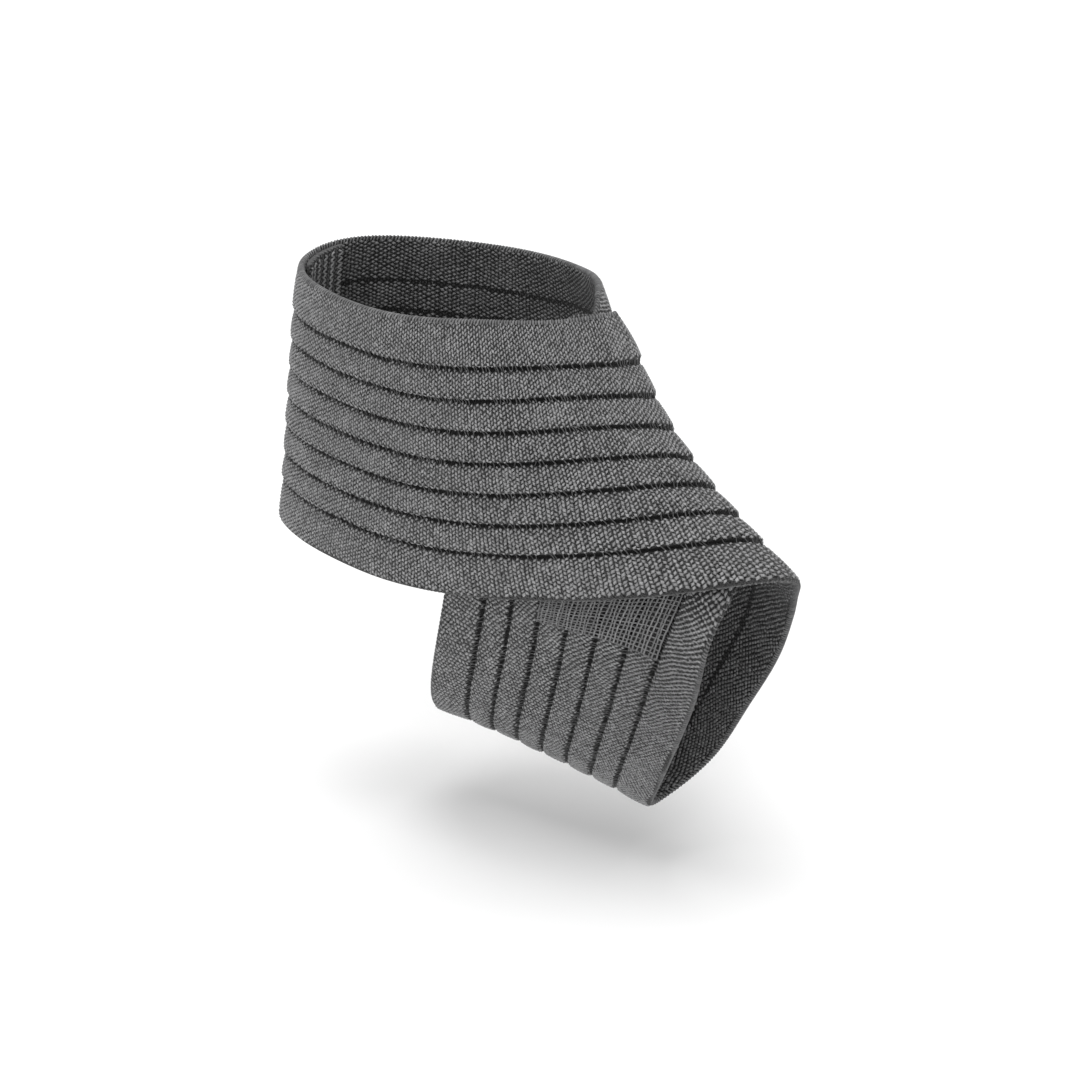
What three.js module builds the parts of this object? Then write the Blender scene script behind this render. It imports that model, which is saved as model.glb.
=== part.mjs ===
// Ankle brace: one ribbed elastic band that runs round the leg, over the instep, under the foot and back.
// Its two passes cross over the instep, and its ends are sewn on each other behind the heel tendon.
// Lengths are in millimetres. X points to the toes, Y to the far side and Z up.
// The origin is on the leg's axis, half a band below the rim of the leg opening.
import * as THREE from "three";
import { mergeVertices } from "three/addons/utils/BufferGeometryUtils.js";

// Sizes that can be set by themselves
const legDepth = 91.5; // leg opening, heel tendon to shin
const ankleWidth = 59; // across the ankle at its widest
const archDrop = 120; // rim down to the sole under the arch
const bandWidth = 72; // the elastic, edge to edge
const wall = 1.9; // the elastic at the crown of a rib
const grooveDepth = 0.5; // how far a groove sinks into the outer face
const grooveDepthInside = 0.25; // and into the inner face
const edgeWall = 1.3; // the elastic at its woven edge
const passGap = 0.7; // air left between the two passes where they cross
const seatGap = 0.3; // air left under a piece that is sewn on
const ribs = 8; // raised ribs along the band
const edgeRib = 0.16; // width of the first and last rib, as a share of the band
const endWall = 1.4; // the lapped end behind the heel tendon
const patchWall = 1.0; // the net sewn on at the crossing
const ribShoulder = 0.22; // where a rib reaches its full height, as a share of the rib
const stationsPerRow = 5; // cross sections between two rows of the table

// The band's way round, one row a section, in the order of one whole lap.
// top: a point of the upper edge, as shares of legDepth, ankleWidth and archDrop, from the rim's centre.
// across: from there to the lower edge, as shares of bandWidth.
// bow: how far the section bulges out between its edges, as a share of bandWidth.
// layer: 1 where the band is the outer pass, -1 where it is the inner one.
const sections = [
  // section         topX    topY    topZ   acrossX acrossY acrossZ  bow    layer
  ["achilles",      -0.475,  0,      0,     -0.118,  0,     -1.014,  0,     0],
  ["near heel",     -0.372, -0.297, -0.012, -0.069, -0.007, -0.993,  0,     0.2],
  ["near leg",       0,     -0.5,   -0.008,  0.028,  0,     -0.993,  0,     0.8],
  ["near front",     0.284, -0.424,  0,      0.222, -0.042, -0.944,  0,     1],
  ["near shin",      0.443, -0.246,  0,      0.507, -0.069, -0.833, -0.083, 1],
  ["shin",           0.525,  0,     -0.017,  0.694,  0,     -0.806, -0.146, 1],
  ["far shin",       0.459,  0.237, -0.054,  0.688,  0.062, -0.938, -0.056, 1],
  ["far instep",     0.290,  0.483, -0.3,    0.826, -0.111, -0.771,  0.021, 1],
  ["far foot",       0.175,  0.483, -0.617,  0.875, -0.146, -0.458,  0,     0.8],
  ["far sole",       0.066,  0.288, -0.9,    0.917, -0.056, -0.181,  0,     0.2],
  ["sole",           0,      0,     -1,      0.889,  0,     -0.139, -0.021, 0],
  ["near sole",      0.055, -0.288, -0.9,    0.931,  0.056, -0.181, -0.007, -0.2],
  ["near foot",      0.175, -0.458, -0.625,  0.882,  0.118, -0.424,  0,     -0.8],
  ["near instep",    0.273, -0.441, -0.292,  0.847,  0.076, -0.743,  0.021, -1],
  ["under near shin", 0.426, -0.229, -0.025, 0.708, -0.069, -0.944, -0.09,  -1],
  ["under shin",     0.492,  0,      0.012,  0.618,  0,     -0.806, -0.146, -1],
  ["under far shin", 0.415,  0.22,   0.017,  0.5,    0.042, -0.854, -0.083, -1],
  ["far front",      0.268,  0.415,  0.008,  0.229,  0.035, -0.938,  0,     -1],
  ["far leg",       -0.011,  0.497,  0.002,  0.042, -0.018, -0.996,  0,     -0.8],
  ["far heel",      -0.372,  0.297,  0.004, -0.069,  0.007, -1.014,  0,     -0.2],
];

// Where the sewn-on pieces lie: along the lap in rows of the table, across the band in shares of its width.
const lappedEnd = { from: -0.7, to: 0.6, columns: 10, steps: 7 };
// The net's lower and upper ends at four places across the band; the upper end is tucked under the outer pass.
const netOutline = [
  // across  lower  upper
  [0.387, 12.38, 12.68],
  [0.52, 12.55, 12.98],
  [0.68, 12.8, 13.45],
  [0.84, 13.05, 14.1],
];
const netGrid = { columns: 10, steps: 8 };

const rows = sections.length;
const rimHeight = bandWidth / 2;
const passPitch = wall + passGap;

// The eight columns of a row in millimetres.
const rowValues = sections.map(([, topX, topY, topZ, acrossX, acrossY, acrossZ, bow, layer]) => [
  topX * legDepth,
  topY * ankleWidth,
  topZ * archDrop + rimHeight,
  acrossX * bandWidth,
  acrossY * bandWidth,
  acrossZ * bandWidth,
  bow * bandWidth,
  (layer * passPitch) / 2,
]);

// Control values of a closed cubic B-spline that passes through the rows, found by repeated sweeps.
function splineControls(values, sweeps = 40) {
  let controls = values.map((row) => [...row]);
  for (let sweep = 0; sweep < sweeps; sweep++) {
    const last = controls;
    controls = values.map((row, i) =>
      row.map((value, k) => (6 * value - last[(i + rows - 1) % rows][k] - last[(i + 1) % rows][k]) / 4),
    );
  }
  return controls;
}

const controls = splineControls(rowValues);

// All columns at lap, a place along the band counted in rows.
function sectionAt(lap) {
  const row = Math.floor(lap);
  const f = lap - row;
  const weights = [
    (1 - f) ** 3 / 6,
    (3 * f ** 3 - 6 * f ** 2 + 4) / 6,
    (-3 * f ** 3 + 3 * f ** 2 + 3 * f + 1) / 6,
    f ** 3 / 6,
  ];
  const sum = new Array(8).fill(0);
  weights.forEach((weight, k) => {
    const control = controls[(row + k - 1 + 2 * rows) % rows];
    control.forEach((value, column) => (sum[column] += weight * value));
  });
  return {
    top: new THREE.Vector3(sum[0], sum[1], sum[2]),
    across: new THREE.Vector3(sum[3], sum[4], sum[5]),
    bow: sum[6],
    layer: sum[7],
  };
}

// A point of the straight ruling from edge to edge.
function rulingPoint(section, v) {
  return section.top.clone().addScaledVector(section.across, v);
}

// The bow across the band: zero at both edges, and 1 a little above the middle.
const bowReach = 1.5; // sets where the bow is fullest
const bowScale = 3.79; // brings the fullest place to 1
function bowShape(v) {
  return bowScale * v * (1 - v) * (bowReach - v);
}

// A point at height above the band's middle layer; the normal points away from the leg and the foot.
function bandPoint(lap, v, height, step = 0.001) {
  const section = sectionAt(lap);
  const ahead = rulingPoint(sectionAt(lap + step), v);
  const behind = rulingPoint(sectionAt(lap - step), v);
  const along = ahead.sub(behind);
  const normal = section.across.clone().cross(along).normalize();
  return rulingPoint(section, v).addScaledVector(normal, section.layer + section.bow * bowShape(v) + height);
}

// Places of the grooves between the ribs, as shares of the band's width.
const innerRib = (1 - 2 * edgeRib) / (ribs - 2);
const grooves = Array.from({ length: ribs - 1 }, (_, i) => edgeRib + innerRib * i);

// The band's cross section as a closed outline of [share of the width, height]: out along the outer face, back inside.
function ribbedOutline() {
  const crown = wall / 2;
  const borders = [0, ...grooves, 1];
  const outline = [[0, edgeWall / 2]];
  for (let rib = 0; rib < ribs; rib++) {
    const width = borders[rib + 1] - borders[rib];
    outline.push([borders[rib] + ribShoulder * width, crown]);
    outline.push([borders[rib + 1] - ribShoulder * width, crown]);
    if (rib < ribs - 1) outline.push([borders[rib + 1], crown - grooveDepth]);
  }
  outline.push([1, edgeWall / 2], [1, -edgeWall / 2]);
  for (let rib = ribs - 1; rib >= 0; rib--) {
    outline.push([(borders[rib] + borders[rib + 1]) / 2, -crown]);
    if (rib > 0) outline.push([borders[rib], grooveDepthInside - crown]);
  }
  outline.push([0, -edgeWall / 2]);
  return outline;
}

// A closed mesh from points and triangles, with points closer than mergeDistance made one.
function closedGeometry(points, triangles, mergeDistance = 1e-4) {
  const geometry = new THREE.BufferGeometry().setFromPoints(points);
  geometry.setIndex(triangles.flat());
  const merged = mergeVertices(geometry, mergeDistance);
  merged.computeVertexNormals();
  return merged;
}

// The whole band: its outline carried round the lap and joined to its own start.
function elasticBand() {
  const outline = ribbedOutline();
  const count = rows * stationsPerRow;
  const points = [];
  for (let i = 0; i < count; i++) {
    for (const [v, height] of outline) points.push(bandPoint(i / stationsPerRow, v, height));
  }
  const triangles = [];
  for (let i = 0; i < count; i++) {
    const here = i * outline.length;
    const next = ((i + 1) % count) * outline.length;
    outline.forEach((_, k) => {
      const m = (k + 1) % outline.length;
      triangles.push([here + k, here + m, next + m], [here + k, next + m, next + k]);
    });
  }
  return closedGeometry(points, triangles);
}

// A slab that follows the band: place(a, b) gives [lap, across] for a and b from 0 to 1, and lift is its inner height.
function slab(place, columns, steps, lift, thickness) {
  const points = [];
  const index = (side, i, k) => (side * (steps + 1) + i) * (columns + 1) + k;
  for (const height of [lift, lift + thickness]) {
    for (let i = 0; i <= steps; i++) {
      for (let k = 0; k <= columns; k++) {
        const [lap, v] = place(i / steps, k / columns);
        points.push(bandPoint(lap, v, height));
      }
    }
  }
  const triangles = [];
  const quad = (a, b, c, d) => triangles.push([a, b, c], [a, c, d]);
  for (let i = 0; i < steps; i++) {
    for (let k = 0; k < columns; k++) {
      quad(index(1, i, k), index(1, i, k + 1), index(1, i + 1, k + 1), index(1, i + 1, k));
      quad(index(0, i, k), index(0, i + 1, k), index(0, i + 1, k + 1), index(0, i, k + 1));
    }
    quad(index(0, i, 0), index(1, i, 0), index(1, i + 1, 0), index(0, i + 1, 0));
    quad(index(1, i, columns), index(0, i, columns), index(0, i + 1, columns), index(1, i + 1, columns));
  }
  for (let k = 0; k < columns; k++) {
    quad(index(1, 0, k), index(0, 0, k), index(0, 0, k + 1), index(1, 0, k + 1));
    quad(index(0, steps, k), index(1, steps, k), index(1, steps, k + 1), index(0, steps, k + 1));
  }
  return closedGeometry(points, triangles);
}

// The band's end, sewn inside the leg opening behind the heel tendon.
function lappedEndGeometry() {
  const place = (a, b) => [lappedEnd.from + (lappedEnd.to - lappedEnd.from) * a, b];
  return slab(place, lappedEnd.columns, lappedEnd.steps, -wall / 2 - seatGap - endWall, endWall);
}

// A column of the net's outline at a place across the band, on straight lines between its rows.
function netLine(v, column) {
  const above = netOutline.findIndex((row, i) => i > 0 && row[0] >= v);
  const next = above > 0 ? above : netOutline.length - 1;
  const [low, high] = [netOutline[next - 1], netOutline[next]];
  return THREE.MathUtils.mapLinear(v, low[0], high[0], low[column], high[column]);
}

// The net on the outer face of the foot loop, where it goes in under the leg loop.
function crossingNetGeometry() {
  const first = netOutline[0][0];
  const last = netOutline[netOutline.length - 1][0];
  const place = (a, b) => {
    const v = first + (last - first) * b;
    return [netLine(v, 1) + (netLine(v, 2) - netLine(v, 1)) * a, v];
  };
  return slab(place, netGrid.columns, netGrid.steps, wall / 2 + seatGap, patchWall);
}

function cloth(name, geometry, colour, roughness) {
  const material = new THREE.MeshStandardMaterial({ color: colour, roughness, metalness: 0 });
  const mesh = new THREE.Mesh(geometry, material);
  mesh.name = name;
  return mesh;
}

const brace = new THREE.Group();
brace.add(cloth("elastic_band", elasticBand(), 0x7c7c7c, 0.9));
brace.add(cloth("lapped_end", lappedEndGeometry(), 0x8c8c8c, 0.92));
brace.add(cloth("crossing_net", crossingNetGeometry(), 0x686868, 0.92));

export default brace;
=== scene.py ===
# Ankle brace: the looks of the ribbed elastic band, its lapped end and its net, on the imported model.
# Lengths are in metres. X points to the toes, Y to the far side and Z up.
import math
import bpy
import numpy as np
from mathutils import Matrix, Vector


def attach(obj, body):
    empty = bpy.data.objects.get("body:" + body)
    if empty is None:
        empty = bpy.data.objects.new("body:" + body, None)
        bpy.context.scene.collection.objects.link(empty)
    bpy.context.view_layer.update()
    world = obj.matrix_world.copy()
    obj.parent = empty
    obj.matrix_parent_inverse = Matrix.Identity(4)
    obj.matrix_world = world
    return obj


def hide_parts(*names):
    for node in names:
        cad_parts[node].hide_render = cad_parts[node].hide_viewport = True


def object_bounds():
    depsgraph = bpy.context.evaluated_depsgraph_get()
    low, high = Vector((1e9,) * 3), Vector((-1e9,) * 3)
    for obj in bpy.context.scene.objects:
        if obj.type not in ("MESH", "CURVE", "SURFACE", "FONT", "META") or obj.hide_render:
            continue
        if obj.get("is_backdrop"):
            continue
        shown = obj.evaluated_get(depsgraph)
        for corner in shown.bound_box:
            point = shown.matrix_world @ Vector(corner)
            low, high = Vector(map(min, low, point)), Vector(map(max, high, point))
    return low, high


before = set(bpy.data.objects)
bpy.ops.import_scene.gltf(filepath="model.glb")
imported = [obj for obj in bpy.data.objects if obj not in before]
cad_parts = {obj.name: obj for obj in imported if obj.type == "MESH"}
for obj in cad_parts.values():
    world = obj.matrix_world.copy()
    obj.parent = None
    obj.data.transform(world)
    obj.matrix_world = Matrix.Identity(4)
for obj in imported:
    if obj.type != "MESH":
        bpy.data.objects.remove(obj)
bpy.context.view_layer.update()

mm = 0.001


def unit(x):
    # x over its length.
    return x / np.linalg.norm(x, axis=-1, keepdims=True)


# The band's way round, one row a section, in the order of one whole lap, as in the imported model.
# top: a point of the upper edge, as shares of legDepth, ankleWidth and archDrop, from the rim's centre.
# across: from there to the lower edge, as shares of the band's width. bow: how far it bulges, likewise.
# layer: 1 where the band is the outer pass, -1 where it is the inner one.
brace = {
    "legDepth": 91.5 * mm,
    "ankleWidth": 59 * mm,
    "archDrop": 120 * mm,
    "width": 72 * mm,
    "wall": 1.9 * mm,
    "passGap": 0.7 * mm,
    "seatGap": 0.3 * mm,
    "ribs": 8,
    "edgeRib": 0.16,
    # topX, topY, topZ, acrossX, acrossY, acrossZ, bow, layer
    "sections": [
        [-0.475, 0, 0, -0.118, 0, -1.014, 0, 0],  # achilles
        [-0.372, -0.297, -0.012, -0.069, -0.007, -0.993, 0, 0.2],  # near heel
        [0, -0.5, -0.008, 0.028, 0, -0.993, 0, 0.8],  # near leg
        [0.284, -0.424, 0.005, 0.226, -0.044, -0.954, 0.04, 1],  # near front
        [0.448, -0.241, 0, 0.514, -0.097, -0.844, -0.04, 1],  # near shin
        [0.524, 0.024, -0.004, 0.688, 0.007, -0.845, -0.103, 1],  # shin
        [0.435, 0.236, -0.063, 0.698, 0.047, -0.951, -0.055, 1],  # far shin
        [0.29, 0.483, -0.3, 0.823, -0.09, -0.764, -0.018, 1],  # far instep
        [0.175, 0.483, -0.617, 0.875, -0.146, -0.458, 0, 0.8],  # far foot
        [0.066, 0.288, -0.9, 0.923, -0.057, -0.193, 0, 0.2],  # far sole
        [0, 0, -1, 0.903, 0, -0.15, -0.021, 0],  # sole
        [0.055, -0.288, -0.9, 0.926, 0.057, -0.179, -0.007, -0.2],  # near sole
        [0.175, -0.458, -0.625, 0.882, 0.118, -0.424, 0, -0.8],  # near foot
        [0.273, -0.441, -0.292, 0.847, 0.076, -0.743, 0.021, -1],  # near instep
        [0.426, -0.229, -0.025, 0.707, -0.071, -0.944, -0.09, -1],  # under near shin
        [0.492, 0, 0, 0.619, 0.001, -0.79, -0.144, -1],  # under shin
        [0.415, 0.22, 0.017, 0.498, 0.04, -0.855, -0.091, -1],  # under far shin
        [0.268, 0.415, 0.008, 0.229, 0.035, -0.938, 0, -1],  # far front
        [-0.011, 0.497, 0.002, 0.042, -0.018, -0.996, 0, -0.8],  # far leg
        [-0.372, 0.297, 0.004, -0.069, 0.007, -1.014, 0, -0.2],  # far heel
    ],
}
lapRows = len(brace["sections"])
passPitch = brace["wall"] + brace["passGap"]
rimHeight = brace["width"] / 2


def splineControls(values, sweeps=40):
    # Control values of the closed cubic B-spline through all rows: each is (6 row - its two neighbours) / 4.
    controls = values.copy()
    for _ in range(sweeps):
        controls = (6 * values - np.roll(controls, 1, 0) - np.roll(controls, -1, 0)) / 4
    return controls


def rowControls():
    # The table in metres, with its origin brought from the rim down to the band's middle, as spline controls.
    table = np.array(brace["sections"], float)
    w = brace["width"]
    table *= [brace["legDepth"], brace["ankleWidth"], brace["archDrop"], w, w, w, w, passPitch / 2]
    table[:, 2] += rimHeight
    return splineControls(table)


controls = rowControls()


def sectionAt(lap):
    # The spline's value and slope at each lap: four controls, weighted by the cubic B-spline basis.
    row = np.floor(lap).astype(int)
    f = (lap - row)[..., None]
    basis = [(1 - f) ** 3 / 6, (3 * f**3 - 6 * f**2 + 4) / 6]
    basis += [(-3 * f**3 + 3 * f**2 + 3 * f + 1) / 6, f**3 / 6]
    slope = [-((1 - f) ** 2) / 2, (3 * f**2 - 4 * f) / 2, (-3 * f**2 + 2 * f + 1) / 2, f**2 / 2]
    near = [controls[(row + k - 1) % lapRows] for k in range(4)]
    return sum(b * c for b, c in zip(basis, near)), sum(s * c for s, c in zip(slope, near))


rimLook = {
    # how far in millimetres, at which lap, and over how many laps
    "curls": [[-3.0, 5.4, 0.65], [-2.6, 15.3, 0.75]],
    "swells": [[1.8, 15.9, 0.5]],
    "flares": [[2.6, 6.15, 0.6], [1.4, 7.6, 1.0]],
    # how far down from the rim, as shares of the band's width
    "curlReach": 0.17,
    "swellReach": 0.24,
}


def rimCurl(lap, v):
    # Both passes bend in at the shin's rim, the inner one swells below it, and the far hem flares: sums of
    # bells exp(-((lap - at) / width)^2), each times its own fade across the band.
    here = lap % lapRows
    bells = lambda table: sum(far * np.exp(-((here - at) ** 2) / width**2) for far, at, width in table)
    down = np.clip(v, 0, 1)
    curl = bells(rimLook["curls"]) * np.clip(1 - down / rimLook["curlReach"], 0, 1) ** 2
    swell = bells(rimLook["swells"]) * np.sin(np.pi * np.clip(down / rimLook["swellReach"], 0, 1))
    flare = bells(rimLook["flares"]) * np.clip(2 * down - 1, 0, 1) ** 1.5
    return mm * (curl + swell + flare)


bowScale = 3.79  # brings the peak of v (1 - v) (1.5 - v) to 1


def bandPoint(lap, v, height):
    # Ruling point + normal (layer + bow * bowScale v (1 - v) (1.5 - v) + height + rim's curl); the normal is
    # across x along.
    lap, v, height = np.broadcast_arrays(np.asarray(lap, float), v, height)
    here, change = sectionAt(lap)
    v1 = v[..., None]
    middle = here[..., 0:3] + here[..., 3:6] * v1
    along = change[..., 0:3] + change[..., 3:6] * v1
    normal = unit(np.cross(here[..., 3:6], along))
    lift = here[..., 7] + here[..., 6] * bowScale * v * (1 - v) * (1.5 - v) + height + rimCurl(lap, v)
    return middle + normal * lift[..., None]


def bandNormal(lap, v):
    # The direction out of the band: from half a millimetre inside its middle to half a millimetre outside.
    return (bandPoint(lap, v, 0.5 * mm) - bandPoint(lap, v, -0.5 * mm)) / mm


def lapLength(v, steps=2000):
    # Length of the closed line at v, and the lap at equal lengths along it.
    laps = np.linspace(0, lapRows, steps + 1)
    line = bandPoint(laps, v, 0)
    run = np.concatenate([[0], np.cumsum(np.linalg.norm(np.diff(line, axis=0), axis=1))])
    return run[-1], lambda at: np.interp(np.asarray(at) % 1 * run[-1], run, laps)


middleLength, evenLap = lapLength(0.5)
innerRib = (1 - 2 * brace["edgeRib"]) / (brace["ribs"] - 2)
grooves = brace["edgeRib"] + innerRib * np.arange(brace["ribs"] - 1)
borders = np.concatenate([[0], grooves, [1]])
print(f"band: {middleLength / mm:.0f} mm round, {len(grooves)} grooves")


# Meshes

def gridFaces(rows, columns, closed=(False, False)):
    # Corners of each cell of a grid of rows x columns points, wrapping where it is closed.
    i = np.arange(rows if closed[0] else rows - 1)[:, None]
    k = np.arange(columns if closed[1] else columns - 1)[None]
    i1, k1 = (i + 1) % rows, (k + 1) % columns
    cells = [i * columns + k, i * columns + k1, i1 * columns + k1, i1 * columns + k]
    return np.stack(cells, -1).reshape(-1, 4)


def gridCorners(a, b):
    # The pair (a, b) at each cell's corners, from values one longer than the points of the closed grid.
    rows, columns = len(a) - 1, len(b) - 1
    i, k = np.arange(rows)[:, None], np.arange(columns)[None]
    pick = lambda di, dk: np.stack(np.broadcast_arrays(a[i + di], b[k + dk]), -1)
    return np.stack([pick(0, 0), pick(0, 1), pick(1, 1), pick(1, 0)], 2).reshape(-1, 2)


def makePiece(name, points, faces, corners=None, attributes=None, caps=None):
    # A smooth mesh from points and quads, with optional end caps of one polygon each.
    mesh = bpy.data.meshes.new(name)
    points = np.ascontiguousarray(points.reshape(-1, 3), np.float32)
    groups = [faces] + ([caps] if caps is not None else [])
    loops = np.concatenate([g.ravel() for g in groups]).astype(np.int32)
    sizes = np.concatenate([np.full(len(g), g.shape[1]) for g in groups])
    mesh.vertices.add(len(points))
    mesh.vertices.foreach_set("co", points.ravel())
    mesh.loops.add(len(loops))
    mesh.loops.foreach_set("vertex_index", loops)
    mesh.polygons.add(len(sizes))
    mesh.polygons.foreach_set("loop_start", np.concatenate([[0], np.cumsum(sizes)[:-1]]).astype(np.int32))
    if corners is not None:
        layer = mesh.uv_layers.new(name="knitMap")
        full = np.zeros((len(loops), 2), np.float32)
        full[: len(corners)] = corners
        layer.uv.foreach_set("vector", full.ravel())
    for key, values in (attributes or {}).items():
        values = np.ravel(values).astype(np.float32)
        mesh.attributes.new(key, "FLOAT", "POINT").data.foreach_set("value", values)
    mesh.update(calc_edges=True)
    mesh.polygons.foreach_set("use_smooth", np.ones(len(sizes), bool))
    piece = bpy.data.objects.new(name, mesh)
    bpy.context.scene.collection.objects.link(piece)
    return piece


def ringsRound(lines, tangent, radius, up, sides):
    # A ring round each point of each line: point + radius (cos lift + sin side), both square to the line.
    side = unit(np.cross(tangent, up))
    lift = unit(np.cross(side, tangent))
    turn = 2 * np.pi * np.arange(sides) / sides
    radius = np.broadcast_to(radius, lines.shape[:2])[..., None, None]
    ring = lift[:, :, None] * np.cos(turn)[:, None] + side[:, :, None] * np.sin(turn)[:, None]
    return lines[:, :, None] + radius * ring


def threads(name, paths, radius, up, sides=5):
    # Many tubes with capped ends. paths is (threads, steps, 3).
    count, steps = paths.shape[:2]
    points = ringsRound(paths, np.gradient(paths, axis=1), radius, up, sides)
    start = np.arange(count)[:, None, None] * steps * sides
    faces = (start + gridFaces(steps, sides, (False, True))[None]).reshape(-1, 4)
    first = start[:, 0] + np.arange(sides)[None]
    ends = np.concatenate([first[:, ::-1], first + (steps - 1) * sides])
    tone = np.repeat(np.random.default_rng(len(name)).uniform(0, 1, count), steps * sides)
    return makePiece(name, points, faces, attributes={"tone": tone}, caps=ends)


def loopThread(name, lines, radius, up, sides=10):
    # Closed tubes. lines is (threads, steps, 3) with no repeated end.
    count, steps = lines.shape[:2]
    points = ringsRound(lines, np.roll(lines, -1, 1) - np.roll(lines, 1, 1), radius, up, sides)
    start = np.arange(count)[:, None, None] * steps * sides
    faces = (start + gridFaces(steps, sides, (True, True))[None]).reshape(-1, 4)
    tone = np.tile(np.random.default_rng(len(name)).uniform(0, 1, count * steps)[:, None], sides)
    return makePiece(name, points, faces, attributes={"tone": tone})


# Sizes of the net at the crossing

netLook = {
    # across the band, and the laps of its lower and upper end there
    "outline": [[0.387, 12.38, 12.68], [0.52, 12.55, 12.98], [0.68, 12.8, 13.45], [0.84, 13.05, 14.1]],
    "alongThreads": 32,
    "acrossThreads": 17,
    "alongRadius": 0.25 * mm,
    "acrossRadius": 0.16 * mm,
    "lift": 0.3 * mm,  # its middle over the gap above the band
    "weave": 0.16 * mm,  # how far a thread goes over and under
    "shift": 0.004,
    "steps": 60,
}


# The elastic band

bandLook = {
    "stations": 790,
    "facePoints": 74,  # across the outer face
    "insidePoints": 42,
    "edgePoints": 5,
    "edgeOut": 0.5 * mm,  # how far the rounded edges lie outside v = 0 and 1
    # how much closer the points lie at a groove and at an edge, and how far from a groove that reaches
    "grooveCrowd": 3.2,
    "edgeCrowd": 1.5,
    "crowdReach": 1.3 * mm,
    "grooveDepth": 1.1 * mm,
    "insideDepth": 0.2 * mm,
    "grooveHalf": 0.5 * mm,  # flat floor of a groove, half its width
    "topShoulder": 1.1 * mm,  # how far a rib takes to rise from the groove above it
    "lowShoulder": 0.6 * mm,  # and to fall into the groove below it
    "puff": 0.3 * mm,  # how far a rib's middle swells
    "tilt": 0.85 * mm,  # how much further out a rib's lower edge stands than its upper one, on the leg
    "footTilt": 0.1 * mm,
    "edgeWall": 1.5 * mm,
    "edgeTaper": 1.2 * mm,  # how far in from an edge the wall is thinner
    "unevenness": 0.1 * mm,
    # the lap where each stretch fades in or out, and over how much
    "legEnds": (6.0, 1.2),
    "legStarts": (17.6, 0.8),
    "footEnds": (13.8, 0.6),
    "coverStarts": (13.6, 0.8),
    "coverEnds": (18.0, 0.8),
}


def rising(lap, stretch):
    # 0 before the stretch's lap, then straight up to 1.
    return np.clip((lap - stretch[0]) / stretch[1], 0, 1)


def falling(lap, stretch):
    return np.clip((stretch[0] - lap) / stretch[1], 0, 1)


def visiblePuff(lap, look):
    # 1 where nothing lies on the band, 0.1 where the outer pass covers it, with x x (3 - 2 x) between.
    cover = rising(lap, look["coverStarts"]) * falling(lap, look["coverEnds"])
    return 1 - 0.9 * cover * cover * (3 - 2 * cover)


def ribShape(v, look):
    # 1 on a rib and 0 on a groove's floor, with quarter circles between, and the place inside the rib.
    rib = np.clip(np.searchsorted(borders, v, side="right") - 1, 0, len(borders) - 2)
    above = (v - borders[rib]) * brace["width"] - look["grooveHalf"]
    below = (borders[rib + 1] - v) * brace["width"] - look["grooveHalf"]
    above = np.where(rib == 0, 1, above / look["topShoulder"])
    below = np.where(rib == len(borders) - 2, 1, below / look["lowShoulder"])
    rise = [np.sqrt(np.clip(1 - (1 - np.clip(x, 0, 1)) ** 2, 0, 1)) for x in (above, below)]
    inside = (v - borders[rib]) / (borders[rib + 1] - borders[rib])
    return rise[0] * rise[1], inside


def acrossSpread(count, look):
    # Places across the band at equal steps of the summed weight 1 + crowd exp(-gap^2) + crowd exp(-edge).
    v = np.linspace(0, 1, 4001)
    gap = np.min(np.abs(v[:, None] - grooves[None]), axis=1) * brace["width"]
    edge = np.minimum(v, 1 - v) * brace["width"]
    weight = 1 + look["grooveCrowd"] * np.exp(-((gap / look["crowdReach"]) ** 2))
    weight = weight + look["edgeCrowd"] * np.exp(-edge / mm)
    run = np.concatenate([[0], np.cumsum((weight[1:] + weight[:-1]) / 2)])
    return np.interp(np.linspace(0, run[-1], count), run, v)


def softNoise(a, b, seed):
    # Sum of a few random waves in a and b, about -1 to 1, that closes after one lap.
    rng = np.random.default_rng(seed)
    waves, turnsFrom, turnsTo, mostAcross = 14, 4, 36, 5
    total = np.zeros(np.broadcast(a, b).shape)
    for _ in range(waves):
        turns = int(rng.integers(turnsFrom, turnsTo))
        across = rng.uniform(-mostAcross, mostAcross)
        total = total + np.sin(2 * np.pi * (a * turns / lapRows + b * across + rng.uniform()))
    return total / math.sqrt(waves)


def ribTilt(lap, look):
    # Full on the leg's outer pass and the heel, small on the foot, and none where the outer pass covers it.
    lap = np.asarray(lap) % lapRows
    leg = 1 - rising(lap, look["legEnds"]) + rising(lap, look["legStarts"])
    return leg * look["tilt"] + (1 - leg) * falling(lap, look["footEnds"]) * look["footTilt"]


def halfWall(v, look):
    # Half the wall, thinned by a root near the band's edges, and how far in v is, from 0 on an edge to 1.
    edge = np.clip(np.minimum(v, 1 - v) * brace["width"] / look["edgeTaper"], 0, 1)
    return look["edgeWall"] / 2 + (brace["wall"] - look["edgeWall"]) / 2 * np.sqrt(edge), edge


def outerHeight(lap, v, look):
    # The outer face over the band's middle: half the wall, less the grooves, plus swell, tilt and unevenness.
    v1 = np.clip(v, 0, 1)
    shape, inside = ribShape(v1, look)
    half, edge = halfWall(v1, look)
    swell = visiblePuff(lap, look)
    rise = swell * look["puff"] * np.sin(np.pi * inside) ** 0.8 * (edge > 0)
    rise = rise + swell * look["unevenness"] * softNoise(lap, v, 3)
    rise = rise + ribTilt(lap, look) * (inside - 0.5)
    return half - look["grooveDepth"] * (1 - shape) + rise * shape


def innerHeight(v, look):
    # The inner face: half the wall below the band's middle, with a shallow dip at each groove.
    v1 = np.clip(v, 0, 1)
    return -halfWall(v1, look)[0] + look["insideDepth"] * (1 - ribShape(v1, look)[0])


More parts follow.
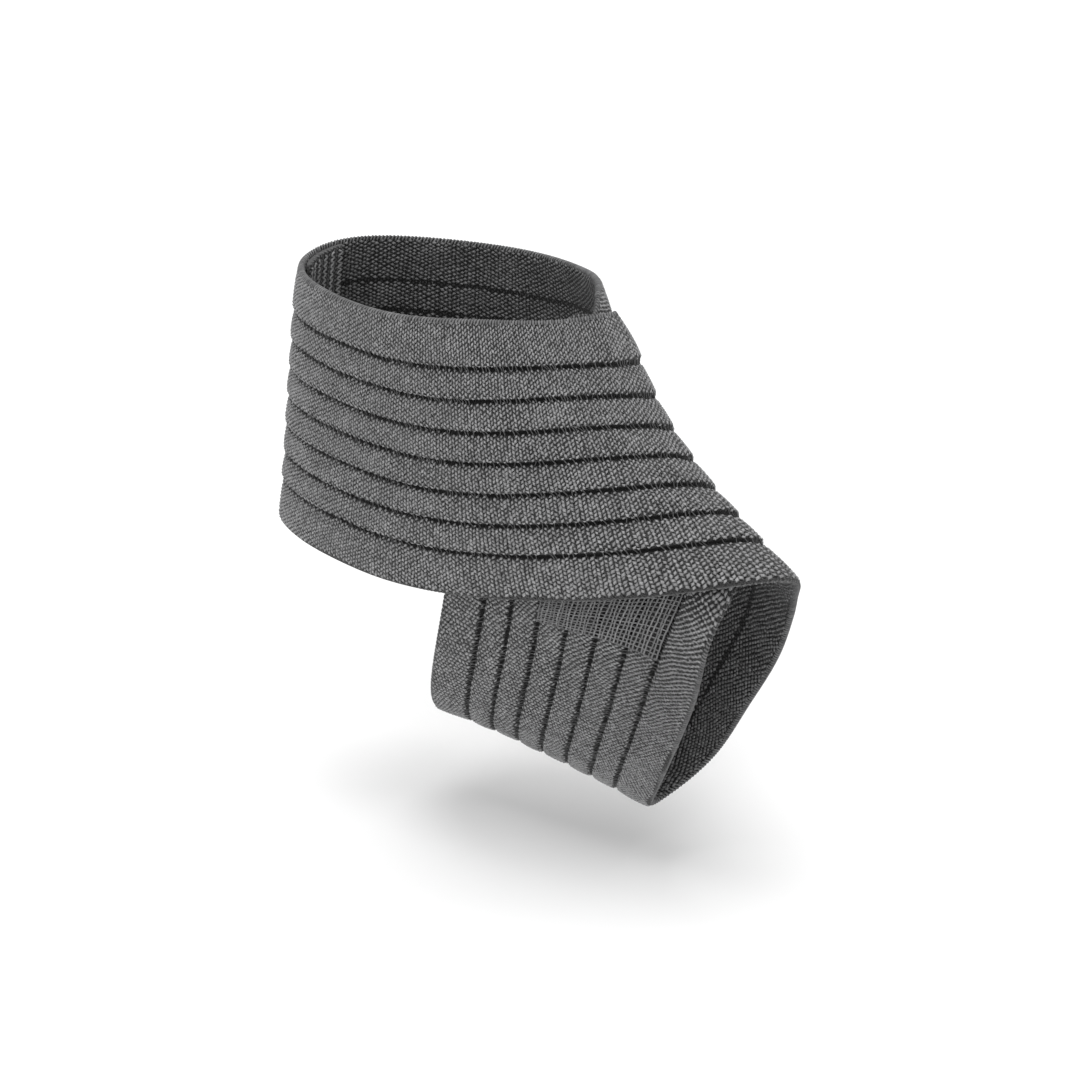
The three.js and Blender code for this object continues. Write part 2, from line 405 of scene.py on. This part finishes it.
def underNet(lap, v):
    # 1 on the part of the band that the net lies on, fading out over a millimetre or so.
    rows = np.array(netLook["outline"])
    low, high = np.interp(v, rows[:, 0], rows[:, 1]), np.interp(v, rows[:, 0], rows[:, 2])
    fade = lambda x: np.clip(x + 0.5, 0, 1)
    across = fade((v - rows[0, 0]) * 60) * fade((rows[-1, 0] - v) * 60)
    return across * fade((lap - low) * 20) * fade((high - lap) * 20)


def makeBand(look):
    # One closed skin round the lap: the outer face, the hem's half round, the inner face and the rim's.
    laps = evenLap(np.arange(look["stations"]) / look["stations"])[:, None]
    outer = acrossSpread(look["facePoints"], look)
    inner = acrossSpread(look["insidePoints"], look)[::-1]
    bend = look["edgePoints"]
    turn = np.linspace(0, np.pi, bend + 2)[1:-1]
    reach = look["edgeOut"] / brace["width"]
    lowEdge = np.stack([1 + reach * np.sin(turn), np.cos(turn)], 1)
    topEdge = np.stack([-reach * np.sin(turn), -np.cos(turn)], 1)
    v = np.concatenate([outer, lowEdge[:, 0], inner, topEdge[:, 0]])[None]
    face = np.concatenate([np.ones(len(outer)), lowEdge[:, 1], -np.ones(len(inner)), topEdge[:, 1]])
    blend = ((face + 1) / 2)[None]
    outside = outerHeight(laps, v, look)
    shape = ribShape(np.clip(v, 0, 1), look)[0]
    height = outside * blend + innerHeight(v, look) * (1 - blend)
    points = bandPoint(laps, v, height)
    rows = np.arange(look["stations"] + 1) / look["stations"] * middleLength / mm
    # the map runs along the band in millimetres, and across it with the inner face past the outer one
    across = np.concatenate([outer, [1.02] * bend, 2.2 - inner, [2.22] * bend, [2.24]])
    corners = gridCorners(rows, across * brace["width"] / mm)
    full = lambda x: np.broadcast_to(x, height.shape)
    attributes = {"inward": full(1 - blend), "groove": full(1 - shape)}
    attributes["netted"] = underNet(laps, v) * blend
    faces = gridFaces(look["stations"], v.shape[1], (True, True))
    return makePiece("elasticBand", points, faces, corners, attributes)


elasticBand = makeBand(bandLook)
print("elastic band:", len(elasticBand.data.polygons) * 2, "triangles")


# The stitches, one grain of yarn each

stitchLook = {
    # spacing along and across the band and a grain's sizes, in mm; its lean and how that varies, in degrees;
    # and how deep in a groove it may still lie, as a share
    "outer": {"wale": 0.92, "course": 1.1, "long": 1.42, "wide": 0.86, "high": 0.34, "lean": 60, "jitter": 9},
    "inner": {"wale": 1.2, "course": 1.1, "long": 1.6, "wide": 0.85, "high": 0.24, "lean": 5, "jitter": 8},
    "grooveLimit": (0.75, 0.9),
    "wander": 0.3 * mm,
    "stray": 0.08,  # along the band, in columns
    "strayAcross": 0.06 * mm,
    "sizeSpread": 0.1,
    "stretch": (0.7, 2.4),
}


def facePoint(lap, v, outside):
    # The point of the outer or inner face.
    height = outerHeight(lap, v, bandLook) if outside else innerHeight(v, bandLook)
    return bandPoint(lap, v, height)


def hidden(lap, v, outside):
    # Where one pass lies on the other, in laps and in v: there the stitches between them are left out.
    if outside:
        start, top = 14.0 + np.clip(3 * v - 2, 0, 1), 0.2 + 0.5 * np.clip(lap - 16.2, 0, 2)
        return (lap > start) & (lap < 17.4) & (v > top)
    return (lap > 4.2) & (lap < 6.4) & (v > 0.12) & (v < 0.8)


def makeStitches(name, outside, seed, look):
    # A brick lattice of low pyramids on the face: centre, two axes in the face and one out of it. They widen
    # with the band where its edge runs longer than its middle.
    rng = np.random.default_rng(seed)
    shape = look["outer" if outside else "inner"]
    course = shape["course"] * mm
    columns = 2 * int(round(middleLength / (shape["wale"] * mm) / 2))
    rows = int(brace["width"] / course)
    i, j = np.meshgrid(np.arange(columns), np.arange(rows), indexing="ij")
    lap = evenLap((i + rng.normal(0, look["stray"], i.shape)) / columns) % lapRows
    v = (j + 0.5 * (i % 2) + 0.3) * course + rng.normal(0, look["strayAcross"], i.shape)
    v = v / brace["width"]
    v = v + look["wander"] * softNoise(lap, v, seed) / brace["width"]
    lap = lap + 0.5 * look["wander"] * softNoise(lap, v, seed + 1) / middleLength * lapRows
    groove = 1 - ribShape(np.clip(v, 0, 1), bandLook)[0]
    keep = (v > 0.004) & (v < 0.996) & (groove < look["grooveLimit"][0 if outside else 1])
    keep &= ~hidden(lap, v, outside)
    if outside:
        keep &= underNet(lap, v) < 0.5
    lap, v, i = lap[keep], v[keep], i[keep]
    centre = facePoint(lap, v, outside)
    along = facePoint(lap + 0.01, v, outside) - facePoint(lap - 0.01, v, outside)
    middle = bandPoint(lap + 0.01, 0.5, 0) - bandPoint(lap - 0.01, 0.5, 0)
    stretch = np.linalg.norm(along, axis=-1, keepdims=True) / np.linalg.norm(middle, axis=-1, keepdims=True)
    across = facePoint(lap, v + 0.004, outside) - facePoint(lap, v - 0.004, outside)
    out = unit(np.cross(across, along)) * (1 if outside else -1)
    along = unit(along)
    side = np.cross(out, along)
    lean = shape["lean"] * np.where(i % 2, 1, -1) + rng.normal(0, shape["jitter"], len(i))
    lean = np.radians(lean)[:, None]
    along = along * np.clip(stretch, *look["stretch"])
    first = along * np.cos(lean) + side * np.sin(lean)
    second = side * np.cos(lean) - along * np.sin(lean)
    scale = rng.normal(1, look["sizeSpread"], (len(i), 1)) * mm / 2
    a, b = first * shape["long"] * scale, second * shape["wide"] * scale
    corners = np.stack([a, -a, b, -b, out * shape["high"] * mm], 1) + centre[:, None]
    sides = [[0, 2, 4], [2, 1, 4], [1, 3, 4], [3, 0, 4], [2, 0, 1], [1, 0, 3]]
    faces = (np.arange(len(i))[:, None, None] * 5 + np.array(sides)[None]).reshape(-1, 3)
    tone = np.repeat(rng.uniform(0, 1, len(i)), 5)
    piece = makePiece(name, corners, faces, attributes={"tone": tone})
    # the two hidden faces below stay flat, so that they don't turn the normals of the four above
    piece.data.polygons.foreach_set("use_smooth", np.tile([True] * 4 + [False] * 2, len(i)))
    return piece


outerStitches = makeStitches("outerStitches", True, 21, stitchLook)
innerStitches = makeStitches("innerStitches", False, 22, stitchLook)
print("stitches:", len(outerStitches.data.polygons), len(innerStitches.data.polygons))


# Threads across the grooves

ladderLook = {
    "pitch": 0.92 * mm,
    "stray": 0.22,  # as a share of the pitch
    "radius": 0.17 * mm,
    "span": 1.9 * mm,  # half of it on each side of the groove's middle
    "sag": 0.3 * mm,
    "sink": 0.1 * mm,  # how far a thread's ends lie in the ribs
    # how far a thread leans on the leg and on the foot, and how that varies, in millimetres
    "lean": (0.25, 0.9),
    "leanSpread": 0.45,
    # the share of threads that are there, on the leg, on the foot and on the inner face
    "shown": (0.6, 0.75, 0.3),
    # on the inner face, the radius and span as shares of the outer ones, and the height
    "insideRadius": 0.75,
    "insideSpan": 0.6,
    "insideHeight": -0.55 * mm,
    "insideSag": 0.14 * mm,
    "unevenness": 0.04 * mm,
}


def makeLadders(name, outside, seed, look):
    # Threads across each groove, from the rib above to the rib below, that sag by sin(pi t). They are steep
    # on the leg and slanting on the foot, and some are left out.
    rng = np.random.default_rng(seed)
    count = int(round(middleLength / look["pitch"]))
    stray = rng.uniform(-look["stray"], look["stray"], (len(grooves), count))
    start = (np.arange(count)[None] + stray) / count
    start = start + 0.5 * (np.arange(len(grooves)) % 2)[:, None] / count
    onLeg = ribTilt(evenLap(start), bandLook) > 0.5 * bandLook["tilt"]
    legShare, footShare, insideShare = look["shown"]
    chosen = rng.random(start.shape) < (np.where(onLeg, legShare, footShare) if outside else insideShare)
    t = np.linspace(0, 1, 5)[None, None]
    lean = mm * rng.normal(np.where(onLeg, *look["lean"]), look["leanSpread"])
    laps = evenLap(start[..., None] + lean[..., None] * (t - 0.5) / middleLength)
    span = look["span"] * (1 if outside else look["insideSpan"])
    span = span * rng.uniform(0.7, 1.15, start.shape)[..., None]
    v = grooves[:, None, None] + span / brace["width"] * (t - 0.5)
    if outside:
        ends = outerHeight(laps[..., [0, -1]], v[..., [0, -1]], bandLook) - look["sink"]
        rise = ends[..., :1] * (1 - t) + ends[..., 1:] * t - look["sag"] * np.sin(np.pi * t)
    else:
        rise = look["insideHeight"] - look["insideSag"] * np.sin(np.pi * t)
    rise = rise + rng.normal(0, look["unevenness"], start.shape)[..., None]
    laps, v, rise = laps[chosen], v[chosen], rise[chosen]
    radius = look["radius"] * (1 if outside else look["insideRadius"])
    return threads(name, bandPoint(laps, v, rise), radius, bandNormal(laps, v), sides=4)


# The band's two edges

edgeLook = {
    "steps": 1500,
    "out": 0.12 * mm,  # the cord's middle, past the band's edge
    "wander": 0.05 * mm,
    "radius": 0.38 * mm,
    "swell": 0.06,  # share of the radius, once a stitch
    "pitch": 1.3 * mm,
    "wrapPitch": 1.04 * mm,
    "wrapRadius": 0.25 * mm,
    "wrapReach": 0.5 * mm,  # how far a wrap comes in over each face
    "wrapOut": 0.5 * mm,
    "wrapLean": 1.1 * mm,
    "wrapSink": 0.05 * mm,
}


def makeEdge(name, atEdge, seed, look):
    # A cord along the band's edge, with radius (1 + swell cos) once a stitch.
    at = np.arange(look["steps"])[None] / look["steps"]
    laps = evenLap(at)
    away = 1 if atEdge > 0.5 else -1
    v = atEdge + away * (look["out"] + look["wander"] * softNoise(laps, 0.3, seed)) / brace["width"]
    swell = 1 + look["swell"] * np.cos(2 * np.pi * at * round(middleLength / look["pitch"]))
    return loopThread(name, bandPoint(laps, v, 0), look["radius"] * swell, bandNormal(laps, v))


def makeEdgeWraps(name, atEdge, seed, look):
    # One leaning thread a stitch that wraps round the band's edge from its outer to its inner face.
    rng = np.random.default_rng(seed)
    count = int(round(middleLength / look["wrapPitch"]))
    start = (np.arange(count) + rng.uniform(-0.1, 0.1, count)) / count
    turn = np.linspace(0, np.pi, 8)[None]
    reach = look["wrapReach"] * rng.uniform(0.85, 1.15, count)[:, None]
    run = (look["wrapOut"] * np.sin(turn) - reach * (1 - np.sin(turn)) ** 1.5) / brace["width"]
    away = 1 if atEdge > 0.5 else -1
    lean = look["wrapLean"] * (turn / np.pi - 0.5)
    laps = evenLap(start[:, None] + lean / middleLength)
    height = (bandLook["edgeWall"] / 2 - look["wrapSink"]) * np.cos(turn)
    paths = bandPoint(laps, atEdge + away * run, height)
    # a thread's own up is away from the band's middle just inside the edge
    middle = bandPoint(laps[:, :1], atEdge - 0.02 * away, 0)
    return threads(name, paths, look["wrapRadius"], paths - middle)


outsideLadders = makeLadders("ladderThreads", True, 5, ladderLook)
insideLadders = makeLadders("insideLadderThreads", False, 6, ladderLook)
rimEdge = makeEdge("upperEdge", 0.0, 9, edgeLook)
hemEdge = makeEdge("lowerEdge", 1.0, 10, edgeLook)
rimWraps = makeEdgeWraps("upperEdgeWraps", 0.0, 9, edgeLook)
hemWraps = makeEdgeWraps("lowerEdgeWraps", 1.0, 10, edgeLook)
stitching = [outerStitches, innerStitches, outsideLadders, insideLadders]
stitching += [rimEdge, hemEdge, rimWraps, hemWraps]
print("stitching:", sum(sum(len(p.vertices) - 2 for p in o.data.polygons) for o in stitching), "triangles")


# The lapped end behind the heel tendon

endLook = {
    # its first and last lap, and how far its ends sway from a straight line
    "from": -0.4,
    "to": 0.6,
    "sway": 0.02,
    "wall": 1.4 * mm,
    "columns": 130,
    "steps": 60,
    "ripple": 0.16 * mm,
    "waves": 9,
    "mapLength": 24.5,
    "zigzagRows": 6,
    "zigzagTeeth": 44,
    "zigzagRadius": 0.28 * mm,
    "zigzagSwing": 0.085,
}
innerSeat = -brace["wall"] / 2 - brace["seatGap"] - endLook["wall"]


def makeLappedEnd(look):
    # A closed slab inside the band. Its section is a flat loop: the outer face and then the rippled inner
    # one, base + ripple sin(waves a).
    b = np.linspace(0, 1, look["columns"] + 1)
    a = np.linspace(0, 1, look["steps"] + 1)[:, None]
    v = np.concatenate([b, b[::-1]])[None]
    side = np.repeat([1.0, 0.0], len(b))[None]
    lap = look["from"] + (look["to"] - look["from"]) * a + look["sway"] * np.sin(22 * v)
    taper = np.minimum(1, np.minimum(a, 1 - a) * look["steps"] / 2) ** 0.5
    height = innerSeat + look["wall"] * (0.5 + (side - 0.5) * (0.25 + 0.75 * taper))
    ripple = look["ripple"] * np.sin(2 * np.pi * (look["waves"] * a + 0.18 * np.sin(40 * v)))
    height = height + ripple * (1 - side)
    around = v.shape[1]
    faces = gridFaces(len(a), around, (False, True))
    ring = np.arange(around)
    ends = np.array([ring[::-1], ring + look["steps"] * around])
    along = lap / (look["to"] - look["from"]) * look["mapLength"]
    corners = np.stack(np.broadcast_arrays(along, v * brace["width"] / mm), -1).reshape(-1, 2)
    inward = np.broadcast_to(1 - side, height.shape)
    points = bandPoint(lap, v, height)
    return makePiece("lappedEnd", points, faces, corners[faces].reshape(-1, 2), {"inward": inward}, ends)


lappedEnd = makeLappedEnd(endLook)


def makeZigzag(look):
    # Rows of thread down the lapped end, each a triangle wave in lap, sewn through to the band.
    rows, teeth = look["zigzagRows"], look["zigzagTeeth"]
    t = np.linspace(0, 1, teeth * 4 + 1)[None]
    at = np.linspace(0.07, 0.96, rows)[:, None]
    wave = 2 * np.abs((t * teeth + np.linspace(0, 3, rows)[:, None]) % 1 - 0.5) - 0.5
    lap = look["from"] + (look["to"] - look["from"]) * at + look["zigzagSwing"] * wave
    v = 0.012 + 0.976 * t
    paths = bandPoint(lap, v, innerSeat - look["ripple"])
    return threads("zigzagThread", paths, look["zigzagRadius"], bandNormal(lap, v))


zigzagThread = makeZigzag(endLook)
print("lapped end done")


# The net at the crossing

def netPlace(a, b):
    # Place on the net: b runs across the band between its first and last row, and a from its lower end up.
    rows = np.array(netLook["outline"])
    v = rows[0, 0] + (rows[-1, 0] - rows[0, 0]) * b
    low, high = np.interp(v, rows[:, 0], rows[:, 1]), np.interp(v, rows[:, 0], rows[:, 2])
    return low + (high - low) * a, v


def makeNet(look):
    # Threads each way that go over and under each other by sin(pi t), on lines that drift by a slow sine.
    base = brace["wall"] / 2 + brace["seatGap"] + look["lift"]
    rng = np.random.default_rng(12)
    t = np.linspace(0, 1, look["steps"])[None]
    pieces = []
    for along, count in ((True, look["alongThreads"]), (False, look["acrossThreads"])):
        shift = np.concatenate([[0], rng.normal(0, look["shift"], count - 2), [0]])
        at = (np.linspace(0, 1, count) + shift)[:, None]
        number = np.arange(count)[:, None]
        crossed = look["acrossThreads"] if along else look["alongThreads"]
        wave = np.sin(np.pi * (t * crossed) + np.pi * number)
        drift = look["shift"] * np.sin(9 * t + number * 1.7)
        a, b = (t + 0 * at, at + drift) if along else (at + drift, t + 0 * at)
        lap, v = netPlace(np.clip(a, 0, 1), np.clip(b, 0, 1))
        height = base + look["weave"] * (wave if along else -wave)
        radius = look["alongRadius"] if along else look["acrossRadius"]
        pieces.append((bandPoint(lap, v, height), bandNormal(lap, v), np.full(lap.shape, radius)))
    paths, up, radius = (np.concatenate(part) for part in zip(*pieces))
    return threads("crossingNet", paths, radius, up)


crossingNet = makeNet(netLook)
print("net done")


# Materials

class Wire:
    # A socket whose sums and products add Math nodes.
    def __init__(self, board, socket):
        self.board, self.socket = board, socket

    def math(self, operation, *others):
        return self.board.node("ShaderNodeMath", {"operation": operation}, dict(enumerate([self, *others])))

    def __add__(self, other):
        return self.math("ADD", other)

    def __sub__(self, other):
        return self.math("SUBTRACT", other)

    def __mul__(self, other):
        return self.math("MULTIPLY", other)

    def __truediv__(self, other):
        return self.math("DIVIDE", other)

    def __rsub__(self, other):
        return self.board.node("ShaderNodeMath", {"operation": "SUBTRACT"}, {0: other, 1: self})

    __radd__ = __add__
    __rmul__ = __mul__


class Board:
    # One material's nodes.
    def __init__(self, name):
        self.material = bpy.data.materials.new(name)
        self.material.use_nodes = True
        self.tree = self.material.node_tree
        self.shader = self.tree.nodes["Principled BSDF"]

    def put(self, socket, value):
        if isinstance(value, Wire):
            self.tree.links.new(value.socket, socket)
        else:
            socket.default_value = value

    def node(self, kind, settings=None, inputs=None, output=0):
        made = self.tree.nodes.new(kind)
        for key, value in (settings or {}).items():
            setattr(made, key, value)
        for key, value in (inputs or {}).items():
            self.put(made.inputs[key], value)
        return Wire(self, made.outputs[output])

    def attribute(self, name):
        return self.node("ShaderNodeAttribute", {"attribute_name": name}, output="Fac")

    def smooth(self, value, low, high):
        settings = {"interpolation_type": "SMOOTHSTEP"}
        return self.node("ShaderNodeMapRange", settings, {0: value, 1: low, 2: high})

    def noise(self, vector, scale, detail):
        return self.node("ShaderNodeTexNoise", None, {"Vector": vector, "Scale": scale, "Detail": detail})

    def grey(self, value):
        # A grey with a trace of blue.
        return self.node("ShaderNodeCombineColor", None, {0: value, 1: value, 2: value * 1.01})

    def finish(self, colour, height, depth, sheen=0.25):
        self.put(self.shader.inputs["Base Color"], colour)
        bump = self.node("ShaderNodeBump", None, {"Strength": 1.0, "Distance": depth, "Height": height})
        self.put(self.shader.inputs["Normal"], bump)
        self.shader.inputs["Roughness"].default_value = 0.92
        self.shader.inputs["Sheen Weight"].default_value = sheen
        self.shader.inputs["Sheen Roughness"].default_value = 0.5
        self.shader.inputs["Specular IOR Level"].default_value = 0.08
        return self.material


knit = {
    "wale": 0.92,  # mm between columns of stitches
    "course": 1.1,  # mm between rows
    "yarn": 0.04,
    "shade": 0.008,
    "inside": 1.4,  # painted light: the inner face's colour is scaled by this, which makes it lighter than the outer face
    "relief": 0.42 * mm,
}


def knitMaps(board):
    # The knit map in millimetres, pulled about a little so that no two stitches are alike.
    place = board.node("ShaderNodeTexCoord", output="UV")
    u = board.node("ShaderNodeSeparateXYZ", None, {0: place})
    v = board.node("ShaderNodeSeparateXYZ", None, {0: place}, output=1)
    slow = board.noise(place, 0.11, 1.0)
    fast = board.noise(place, 0.9, 1.0)
    u2 = u + (fast - 0.5) * 0.9
    v2 = v + (slow - 0.5) * 2.4 + (board.noise(place, 0.75, 1.0) - 0.5) * 0.8
    return place, u2, v2


def knitStitches(board, u, v):
    # dots = cos(2 pi x) + 2 cos(pi x) cos(2 pi y): holes on a staggered lattice; legs: rows of slanting yarn.
    x, y = u * (math.pi / knit["wale"]), v * (2 * math.pi / knit["course"])
    dots = (x * 2).math("COSINE") + x.math("COSINE") * y.math("COSINE") * 2
    sway = (u / knit["wale"]).math("PINGPONG", 1.0) * (3 * math.pi)
    legs = 0.5 - (y + sway).math("COSINE") * 0.5
    return dots, legs


def elasticMaterial(name, tone=1.0):
    # Dark yarn with darker holes and painted shade in the grooves, mottled by two noises; the inner face
    # shows the purl side.
    board = Board(name)
    place, u, v = knitMaps(board)
    dots, legs = knitStitches(board, u, v)
    hole = board.smooth(dots, -0.3, 2.5)
    heather = board.noise(place, 2.4, 3.0)
    patch = board.noise(place, 0.07, 2.0)
    inward = board.attribute("inward")
    groove = board.smooth(board.attribute("groove"), 0.02, 0.5)
    face = (legs * 0.5 + 0.5) * (1 - hole)
    purl = board.smooth(dots, -0.2, 2.0)
    level = face * (1 - inward) + purl * inward
    bright = knit["shade"] + level * (0.62 + heather * 0.76) * (knit["yarn"] - knit["shade"])
    # painted shade: the colour is darkened in the grooves and up the ribs' shoulders, by up to 0.75 on the
    # outer face and 0.25 on the inner one
    bright = bright * (0.85 + patch * 0.3) * (1 - groove * (0.75 - inward * 0.5))
    # under the net the colour is darkened by up to 0.8: partly the darker band seen through the mesh, partly
    # painted shade from the net and the band above it
    bright = bright * (1 - board.attribute("netted") * 0.8)
    # painted light: the inner face's colour is scaled by the knit's inside factor
    bright = bright * (1 - inward * (1 - knit["inside"])) * tone
    return board.finish(board.grey(bright), (level + heather * 0.2) * (1 - groove * 0.7), knit["relief"])


yarnLook = {
    "fuzz": 2600,  # noise scales, per metre
    "patch": 160,
    "relief": 0.06 * mm,
    "sheen": 0.03,
}


def threadMaterial(name, yarn, dark, patches=0.5):
    # Between the dark and the yarn's tone by 0.6 fine noise + 0.4 each thread's own tone, times slow patches.
    board = Board(name)
    place = board.node("ShaderNodeTexCoord", output="Object")
    tone = board.attribute("tone")
    fuzz = board.noise(place, yarnLook["fuzz"], 2.0)
    slow = board.noise(place, yarnLook["patch"], 2.0)
    bright = dark + (fuzz * 0.6 + tone * 0.4) * (yarn - dark)
    colour = board.grey(bright * (1 - patches / 2 + slow * patches))
    return board.finish(colour, fuzz, yarnLook["relief"], yarnLook["sheen"])


materials = {
    "elasticBand": elasticMaterial("ribbedElastic"),
    "lappedEnd": elasticMaterial("lappedElastic", 3.0),
    "crossingNet": threadMaterial("elasticNet", 0.3, 0.08),
    "outerStitches": threadMaterial("outerYarn", 0.42, 0.15, patches=0.3),
    "innerStitches": threadMaterial("innerYarn", 0.27, 0.09),
    "ladderThreads": threadMaterial("ladderYarn", 0.14, 0.04),
    "insideLadderThreads": threadMaterial("insideLadderYarn", 0.22, 0.05),
    "upperEdge": threadMaterial("edgeYarn", 0.12, 0.05),
    "lowerEdge": threadMaterial("edgeYarnBelow", 0.12, 0.05),
    "upperEdgeWraps": threadMaterial("wrapYarn", 0.28, 0.08),
    "lowerEdgeWraps": threadMaterial("wrapYarnBelow", 0.24, 0.08),
    "zigzagThread": threadMaterial("zigzagYarn", 0.42, 0.2),
}
for pieceName, material in materials.items():
    piece = bpy.data.objects[pieceName]
    piece.data.materials.append(material)
    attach(piece, "root")
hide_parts("elastic_band")
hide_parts("lapped_end")
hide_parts("crossing_net")
print("materials done")


# Floor, light and camera

studio = {
    "floorBelow": 14 * mm,
    "floorReach": 30.0,
    "world": 0.47,
    # place, spread in degrees and strength
    "lamps": [("overhead", (0.02, 0, 1.1), 56, 1.8), ("front", (0.45, -0.95, 0.6), 50, 1.05)],
    "lampAim": (0.02, 0, -0.03),
    "cameraPlace": (0.4364, -0.6232, 0.2832),
    "cameraAim": (-0.50833, 0.77012, -0.38537),
    "roll": 0.6,
    "focalPixels": 3110,
    "framePixels": 1066,
    "sensor": 36,
}


def makeStudio(look):
    # A pale floor, an even white world and wide suns.
    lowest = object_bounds()[0].z
    reach = look["floorReach"]
    z = lowest - look["floorBelow"]
    corners = np.array([[-reach, -reach, z], [reach, -reach, z], [reach, reach, z], [-reach, reach, z]])
    floor = makePiece("floor", corners, np.array([[0, 1, 2, 3]]))
    board = Board("paleFloor")
    board.shader.inputs["Base Color"].default_value = (1, 1, 1, 1)
    board.shader.inputs["Roughness"].default_value = 0.9
    board.shader.inputs["Specular IOR Level"].default_value = 0.0
    floor.data.materials.append(board.material)
    floor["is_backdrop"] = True
    world = bpy.data.worlds.new("studio")
    world.use_nodes = True
    world.node_tree.nodes["Background"].inputs[0].default_value = (1, 1, 1, 1)
    world.node_tree.nodes["Background"].inputs[1].default_value = look["world"]
    bpy.context.scene.world = world
    for name, place, spread, energy in look["lamps"]:
        light = bpy.data.lights.new(name, "SUN")
        light.angle, light.energy = math.radians(spread), energy
        lamp = bpy.data.objects.new(name, light)
        lamp.location = place
        towards = Vector(look["lampAim"]) - Vector(place)
        lamp.rotation_euler = towards.to_track_quat("-Z", "Y").to_euler()
        bpy.context.scene.collection.objects.link(lamp)
    bpy.context.scene.view_settings.view_transform = "Standard"


def makeCamera(look):
    # The photo's camera, with its focal length in the photo's own pixels.
    camera = bpy.data.cameras.new("camera")
    camera.sensor_width = look["sensor"]
    camera.lens = look["focalPixels"] / look["framePixels"] * look["sensor"]
    camera.clip_start, camera.clip_end = 0.01, 100
    holder = bpy.data.objects.new("camera", camera)
    turn = Vector(look["cameraAim"]).to_track_quat("-Z", "Y").to_matrix()
    turn = turn @ Matrix.Rotation(math.radians(look["roll"]), 3, "Z")
    holder.matrix_world = Matrix.Translation(look["cameraPlace"]) @ turn.to_4x4()
    bpy.context.scene.collection.objects.link(holder)
    bpy.context.scene.camera = holder


makeStudio(studio)
makeCamera(studio)
bpy.context.view_layer.update()
